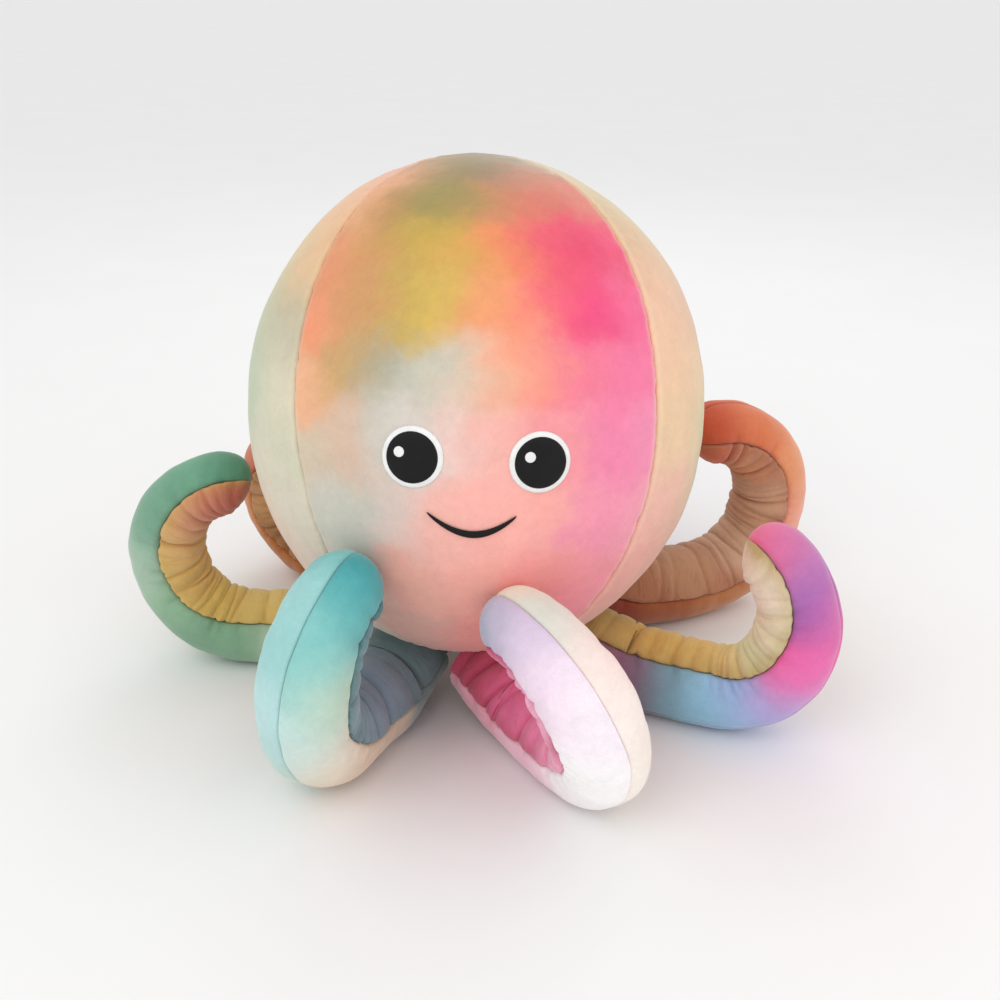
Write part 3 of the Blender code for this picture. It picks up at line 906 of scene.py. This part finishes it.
def armFrame(arm):
    place = math.radians(arm["azimuth"])
    facing = math.radians(arm["azimuth"] + arm["turn"])
    lean = math.radians(arm["lean"])
    outward = Vector((math.sin(facing), -math.cos(facing), 0))
    sideways = Vector((-math.cos(facing), -math.sin(facing), 0))
    up = Vector((0, 0, math.cos(lean))) + sideways * math.sin(lean)
    lowest = arm["reach"] * radius * Vector((math.sin(place), -math.cos(place), 0)) + toyShift
    lowest.z = arm["tube"] * radius * math.cos(math.radians(armShape["halfFlat"]))
    axes = Matrix((outward, up, outward.cross(up))).transposed()
    return Matrix.Translation(lowest) @ axes.to_4x4()


def armRoot(arm, frame):
    inward = (armShape["rootReach"] - arm["reach"]) * radius
    below = frame @ Vector((inward, 0, 0))
    room = armShape["rootWidth"] * arm["tube"] * radius + armShape["rootClearance"]
    height = headUnderside(below.x, below.y) - room - below.z
    return Vector((inward, height / math.cos(math.radians(arm["lean"])), 0))


def curlPoint(arm, angle):
    size, turn = arm["curl"] * radius, math.radians(angle)
    return Vector((armShape["floorRun"] * radius + size * math.cos(turn), size + size * math.sin(turn), 0))


def armLine(arm, frame):
    root = armRoot(arm, frame)
    touch = Vector((-armShape["floorRun"] * radius, 0, 0))
    length = (touch - root).length
    leave = root + Vector((armShape["rootLeave"] * length, -armShape["rootDrop"] * root.y, 0))
    arrive = touch - Vector((armShape["floorArrive"] * length, 0, 0))
    line = interpolate_bezier(root, leave, arrive, touch, 40)
    inside = Vector((-armShape["sewnRun"], armShape["sewnRise"], 0)) * radius
    for point in line:
        point.y += armShape["sewnIn"] * max(0, 1 - (point - root).length / (0.4 * length))
    line = [line[0] + inside * (1 - k / 8) for k in range(8)] + line
    middle = armShape["curlMiddle"]
    turn = math.radians(middle)
    run = Vector((-math.sin(turn), math.cos(turn), 0)) * armShape["curlRun"] * radius
    line += [curlPoint(arm, a) for a in np.arange(-90, middle + 0.1, 2)]
    line += [curlPoint(arm, a) + run for a in np.arange(middle, arm["end"] + 0.1, 2)]
    return np.array([tuple(p) for p in line])


def sampleLine(line, tipRadius):
    steps = np.linalg.norm(np.diff(line, axis=0), axis=1)
    along = np.concatenate([[0], np.cumsum(steps)])
    total = along[-1]
    body = np.arange(0, total - tipRadius, armShape["step"])
    turns = np.linspace(0, math.pi / 2, armShape["tipSteps"])
    stations = np.unique(np.round(np.concatenate([body, total - tipRadius * (1 - np.cos(turns))]), 7))
    places = np.stack([np.interp(stations, along, line[:, k]) for k in range(3)], 1)
    smooth = np.gradient(places, stations, axis=0)
    smooth /= np.linalg.norm(smooth, axis=1)[:, None]
    return stations, places, smooth, total


def armWidth(share):
    for (start, low), (end, high) in zip(armShape["widths"], armShape["widths"][1:]):
        if share <= end:
            break
    t = (share - start) / (end - start)
    return low + (high - low) * t * t * (3 - 2 * t)


# Each gather: place along the arm, depth, slant, width and phase across.
def foldPlaces(total, curlAt, seed):
    rng = random.Random(seed)
    places, at = [], 0.004
    while at < total:
        deep = 0.3 + 0.7 * rng.random() ** 1.2
        places.append((at, deep, rng.uniform(-1, 1), rng.uniform(0.75, 1.35), rng.uniform(0, 6.3)))
        inCurl = min(max((at - curlAt) / 0.03 + 0.5, 0), 1)
        spacing = armShape["floorFold"] + (armShape["curlFold"] - armShape["floorFold"]) * inCurl
        at += spacing * rng.uniform(0.55, 1.45)
    return places


def foldAmount(folds, along, widen, slant, across):
    best = 0.0
    for place, deep, lean, width, phase in folds:
        far = abs(along + slant * lean - place) / (armShape["foldWidth"] * width * widen)
        if far < 4:
            fade = 0.75 + 0.25 * math.sin(phase + 5 * across)
            best = max(best, deep * fade * math.exp(-(far**1.2)))
    return best


# Angles round the arm from the seam on its back, closer together where fabrics meet.
def sectionAngles():
    edge = armShape["bandEdge"]
    half = 180 - edge
    outer = [0.3, 1.2, 2.5, 4.2, 6.5, 9.5] + list(np.arange(13, edge - 13, 3.2))
    outer += [edge - 12, edge - 9.3, edge - 7, edge - 5, edge - 3.3, edge - 1.8, edge - 0.3]
    toEdge = [0.3, 2, 4, 6.5, 9.5, 13]
    band = toEdge + list(np.arange(16, 2 * half - 15, 3.2)) + [2 * half - d for d in reversed(toEdge)]
    return outer, band


def placeOnArm(frame, place, away, sideways, angle, out):
    point = place + out * (math.cos(angle) * away + math.sin(angle) * sideways)
    world = frame @ Vector(point)
    settle = 0.0012
    world.z = 0.5 * (world.z + math.sqrt(world.z**2 + settle**2))
    return world


# For one point of a fabric: share across it, angle round the arm, drop below the tube, painted crease shade
# and gather.
def bandCell(raw, along, out, shift, folds, seed):
    half = 180 - armShape["bandEdge"]
    across = raw / (2 * half)
    angle = 180 + (raw - half) / half * (half - shift)
    toEdge = (half - abs(raw - half)) / 180 * math.pi * out
    wobble = armShape["wobble"] * noise.noise(Vector((across * 3.5, along / 0.012, seed)))
    slant = armShape["foldSlant"] * (across - 0.5) * 2
    crease = foldAmount(folds, along + wobble, 1, slant, across)
    broad = foldAmount(folds, along + wobble, 3, slant, across)
    drop = armShape["foldDepth"] * (0.55 * crease + 0.55 * broad - 0.25)
    toMiddle = 1 - abs(across - 0.5) * 2
    drop += rollOff(toEdge, armShape["bandRoll"]) * 0.8 + armShape["bandHollow"] * toMiddle**2
    return across, angle, drop, crease, 1.0


def panelCell(raw, along, out, shift, folds, sign):
    edge = armShape["bandEdge"]
    across = raw / edge
    angle = raw * (edge + shift * across**3) / edge
    toEdge = (edge - raw) / 180 * math.pi * out
    toSeam = raw / 180 * math.pi * out
    near = math.exp(-toEdge / armShape["foldReach"])
    off = 1 - near
    crease = foldAmount(folds, along, 1.4 + 2 * off, 0.003 * sign * off, -across)
    drop = armShape["foldDepth"] * 0.85 * crease * near
    drop += rollOff(toEdge, armShape["panelRoll"]) + rollOff(toSeam, armShape["seamRoll"])
    drop += armShape["seamPull"] * math.exp(-((toSeam / 0.0045) ** 2))
    # The fourth value is painted crease shade, strongest next to the band.
    return across, angle * sign, drop, crease * near * 0.8, 0.9 * math.exp(-toEdge / armShape["wrinkleReach"])


def armRow(arm, frame, key, along, place, away, out, twist, shift, folds):
    sideways = np.array((0.0, 0.0, 1.0))
    scale = min(out / (arm["tube"] * radius) * 1.15, 1.0)
    outerAngles, bandAngles = sectionAngles()
    row = []
    for raw in bandAngles if key == "innerBand" else outerAngles:
        if key == "innerBand":
            across, angle, drop, fold, gather = bandCell(raw, along, out, shift, folds, arm["seed"])
        else:
            sign = 1 if key == "outerLeft" else -1
            across, angle, drop, fold, gather = panelCell(raw, along, out, shift, folds, sign)
        turned = math.radians(angle) + twist
        point = placeOnArm(frame, place, away, sideways, turned, max(out - drop * scale, out * 0.3))
        lump = cloud(point, 0.034, arm["seed"]) + 0.38 * cloud(point, 0.012, arm["seed"] + 5)
        outward = point - frame @ Vector(place)
        if outward.length > 1e-6:
            point = point + outward.normalized() * armShape["lump"] * lump * scale
        point.z = max(point.z, 0.0001)
        deep = max(out - armShape["skinWall"], out * 0.45)
        inside = placeOnArm(frame, place, away, sideways, turned, deep)
        row.append((point, inside, across, fold, gather))
    return row


def armGrid(arm):
    frame = armFrame(arm)
    fullRadius, curlRadius = arm["tube"] * radius, arm["curl"] * radius
    tipRadius = armShape["tipWidth"] * fullRadius
    stations, places, directions, total = sampleLine(armLine(arm, frame), tipRadius)
    curlAt = total - math.radians(arm["end"] + 90) * curlRadius
    curlStart = total - math.radians(arm["end"] - armShape["curlMiddle"]) * curlRadius
    allFolds = foldPlaces(total, curlAt, arm["seed"])
    rollStart, rollEnd = [math.radians(r) for r in arm.get("roll", (0, 0))]
    grids = {"outerLeft": [], "outerRight": [], "innerBand": []}
    for along, place, direction in zip(stations, places, directions):
        away = np.array((direction[1], -direction[0], 0.0))
        left = min((total - along) / tipRadius, 1.0)
        out = armWidth(along / total) * math.sqrt(max(1 - (1 - left) ** 2, 0)) * fullRadius
        ease = min(max((curlStart - along) / (0.9 * curlRadius), 0), 1)
        twist = math.radians(arm["lean"]) * ease * ease * (3 - 2 * ease)
        twist += rollStart + (rollEnd - rollStart) * min(max((along - curlAt) / (total - curlAt), 0), 1)
        folds = [f for f in allFolds if abs(f[0] - along) < 0.018]
        shift = armShape["scallop"] * (foldAmount(folds, along, 1.2, 0.0, 0.0) - 0.25)
        for key, rows in grids.items():
            rows.append(armRow(arm, frame, key, along, place, away, out, twist, shift, folds))
    return frame, stations, places, total, grids


# Normals of the whole arm, so that the cut between its root and tip pieces can't be seen.
def gridNormals(outside):
    alongStep = np.gradient(outside, axis=0)
    acrossStep = np.gradient(outside, axis=1)
    normals = np.cross(alongStep, acrossStep)
    lengths = np.linalg.norm(normals, axis=2)
    lengths[lengths < 1e-14] = 1
    return normals / lengths[:, :, None]


def keepNormals(item, rows, centres, normals, ring):
    places = np.array([[tuple(cell[0]) for cell in row] for row in rows])
    outward = places - np.array([tuple(c) for c in centres])[:, None, :]
    direction = normals if float((normals * outward).sum()) > 0 else -normals
    custom = np.zeros((len(item.data.vertices), 3))
    for row in range(len(rows)):
        custom[row * ring : row * ring + len(rows[0])] = direction[row]
    onSkin = np.linalg.norm(custom, axis=1) > 0.5
    perCorner = []
    for polygon in item.data.polygons:
        keep = all(onSkin[v] for v in polygon.vertices)
        for v in polygon.vertices:
            perCorner.append(tuple(custom[v]) if keep else (0.0, 0.0, 0.0))
    item.data.normals_split_custom_set(perCorner)


def stripPiece(name, rows, stations, normals, closedEnd, material, centres):
    columns = len(rows[0])
    back = list(range(columns - 1, -1, -1))
    back = back[:: max(1, columns // 8)]
    back += [] if back[-1] == 0 else [0]
    ring = columns + len(back)
    points, skins, folds, gathers = [], [], [], []
    for row, along in zip(rows, stations):
        for point, _, across, fold, gather in row:
            points.append(point)
            skins.append((along, across))
            folds.append(fold)
            gathers.append(gather)
        for column in back:
            points.append(row[column][1])
            skins.append((along, row[column][2]))
            folds.append(0.0)
            gathers.append(0.0)
    count = len(rows)
    faces = []
    for row in range(count - 1):
        for k in range(ring):
            after = (k + 1) % ring
            a = row * ring
            faces.append((a + k, a + after, a + ring + after, a + ring + k))
    faces.append(tuple(range(ring))[::-1])
    if closedEnd is None:
        faces.append(tuple((count - 1) * ring + k for k in range(ring)))
    else:
        points.append(closedEnd)
        skins.append((stations[-1], 0.5))
        folds.append(0.0)
        gathers.append(0.0)
        for k in range(ring):
            faces.append(((count - 1) * ring + k, (count - 1) * ring + (k + 1) % ring, count * ring))
    item = newPiece(name, points, facesOutward(points, faces), material)
    layer = item.data.uv_layers.new(name="skin")
    corners = np.empty(len(item.data.loops), np.int32)
    item.data.loops.foreach_get("vertex_index", corners)
    layer.data.foreach_set("uv", np.array(skins, np.float32)[corners].ravel())
    # Painted crease shade for each point.
    storePerPoint(item, "fold", folds)
    storePerPoint(item, "gather", gathers)
    keepNormals(item, rows, centres, normals, ring)
    return item


def armSplashes(arm, key, total, wide):
    made = []
    for along, *aside, code in arm[key]:
        across = aside[0] if aside else 0.5
        centre = (along * total, across * wide, 0)
        made.append({"centre": centre, "colour": dye(code), "size": armShape["splash"]})
    return made


def buildArm(name, arm):
    words = name.split("_")
    label = "arm" + "".join(w.capitalize() for w in words)
    frame, stations, places, total, grids = armGrid(arm)
    middle = armShape["curlMiddle"]
    curlRadius = arm["curl"] * radius
    lower = math.radians(middle + 90) * curlRadius
    upper = math.radians(arm["end"] - middle) * curlRadius
    splitAlong = total - upper - armShape["curlRun"] * radius - lower
    split = int(np.searchsorted(stations, splitAlong))
    tip = frame @ Vector(places[-1])
    wide = {"outerLeft": armShape["panelWide"], "outerRight": armShape["panelWide"],
            "innerBand": armShape["bandWide"]}
    dyes = {"outerLeft": "left", "outerRight": "right", "innerBand": "band"}
    nodes = {"outerLeft": ["outer_left"], "outerRight": ["outer_right"],
             "innerBand": ["inner_band", "elastic"]}
    centres = [frame @ Vector(p) for p in places]
    for key, rows in grids.items():
        outside = np.array([[tuple(cell[0]) for cell in row] for row in rows])
        normals = gridNormals(outside)
        rows = [[(cell[0], cell[1], cell[2] * wide[key], *cell[3:]) for cell in row] for row in rows]
        material = plushMaterial(f"plush, {name.replace('_', ' ')} {dyes[key]}",
                                 armSplashes(arm, dyes[key], total, wide[key]),
                                 dye(arm[dyes[key]][0][-1]), True)
        title = key[0].upper() + key[1:]
        root = stripPiece(f"{label}{title}Root", rows[: split + 1], stations[: split + 1],
                          normals[: split + 1], None, material, centres[: split + 1])
        end = stripPiece(f"{label}{title}Tip", rows[split:-1], stations[split:-1], normals[split:-1], tip,
                         material, centres[split:-1])
        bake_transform(root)
        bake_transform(end)
        for item in (root, end):
            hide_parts(*[f"arm_{name}_{n}" for n in nodes[key]])
        if key == "innerBand":
            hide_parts(f"arm_{name}_stuffing_root")
            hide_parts(f"arm_{name}_stuffing_tip")
    print("arm made:", name)


# Light, floor and camera

studio = {
    "elevation": 20,
    "distance": 5.5,
    "lens": 44.64,
    "shiftX": 0.0235,
    "shiftY": -0.097,
    "key": 3.4,
    "fill": 1.1,
    "rim": 1.3,
    "world": 0.88,
}


def areaLight(name, place, target, size, power, colour):
    data = bpy.data.lights.new(name, "AREA")
    data.shape = "DISK"
    data.size = size
    data.energy = power
    data.color = colour
    item = bpy.data.objects.new(name, data)
    bpy.context.scene.collection.objects.link(item)
    item.location = place
    item.rotation_euler = (Vector(target) - Vector(place)).to_track_quat("-Z", "Y").to_euler()


def floorMaterial():
    material, tree, shader = newMaterial("studio floor")
    point = addNode(tree, "ShaderNodeTexCoord").outputs["Object"]
    grain = addNode(tree, "ShaderNodeTexNoise", {"Vector": point, "Scale": 9.0, "Detail": 3.0})
    ramp = addNode(tree, "ShaderNodeValToRGB", {"Fac": grain.outputs["Fac"]})
    ramp.color_ramp.elements[0].color = (0.9, 0.9, 0.9, 1)
    ramp.color_ramp.elements[1].color = (0.93, 0.93, 0.93, 1)
    tree.links.new(ramp.outputs["Color"], shader.inputs["Base Color"])
    shader.inputs["Roughness"].default_value = 0.9
    shader.inputs["Specular IOR Level"].default_value = 0.1
    return material


def makeStudio():
    deselectAll()
    bpy.ops.mesh.primitive_plane_add(size=60, location=(0, 0, 0))
    floor = bpy.context.object
    floor.name = "studioFloor"
    floor.data.materials.append(floorMaterial())
    world = bpy.data.worlds.new("studio")
    world.use_nodes = True
    world.node_tree.nodes["Background"].inputs["Color"].default_value = (1, 1, 1, 1)
    world.node_tree.nodes["Background"].inputs["Strength"].default_value = studio["world"]
    bpy.context.scene.world = world
    areaLight("keyLight", (-0.5, -0.9, 1.1), headCentre, 0.9, studio["key"], (1, 0.985, 0.96))
    areaLight("fillLight", (0.9, -0.7, 0.6), headCentre, 0.9, studio["fill"], (0.97, 0.985, 1))
    areaLight("rimLight", (0.2, 0.9, 1.0), headCentre, 0.8, studio["rim"], (1, 1, 1))
    bpy.context.scene.view_settings.view_transform = "Standard"


def makeCamera():
    rise = math.radians(studio["elevation"])
    back = Vector((0, -math.cos(rise), math.sin(rise)))
    data = bpy.data.cameras.new("camera")
    data.lens = studio["lens"]
    data.sensor_width = 36
    data.shift_x = studio["shiftX"]
    data.shift_y = studio["shiftY"]
    camera = bpy.data.objects.new("camera", data)
    bpy.context.scene.collection.objects.link(camera)
    camera.location = headCentre + back * studio["distance"] * radius
    camera.rotation_euler = (-back).to_track_quat("-Z", "Y").to_euler()
    bpy.context.scene.camera = camera


for side, facing in (("front", 0), ("right", 90), ("back", 180), ("left", -90)):
    headGore(side, facing)
headBase()
print("head made")
smile(eyes())
print("face made")
for name, arm in arms.items():
    buildArm(name, arm)
makeStudio()
makeCamera()
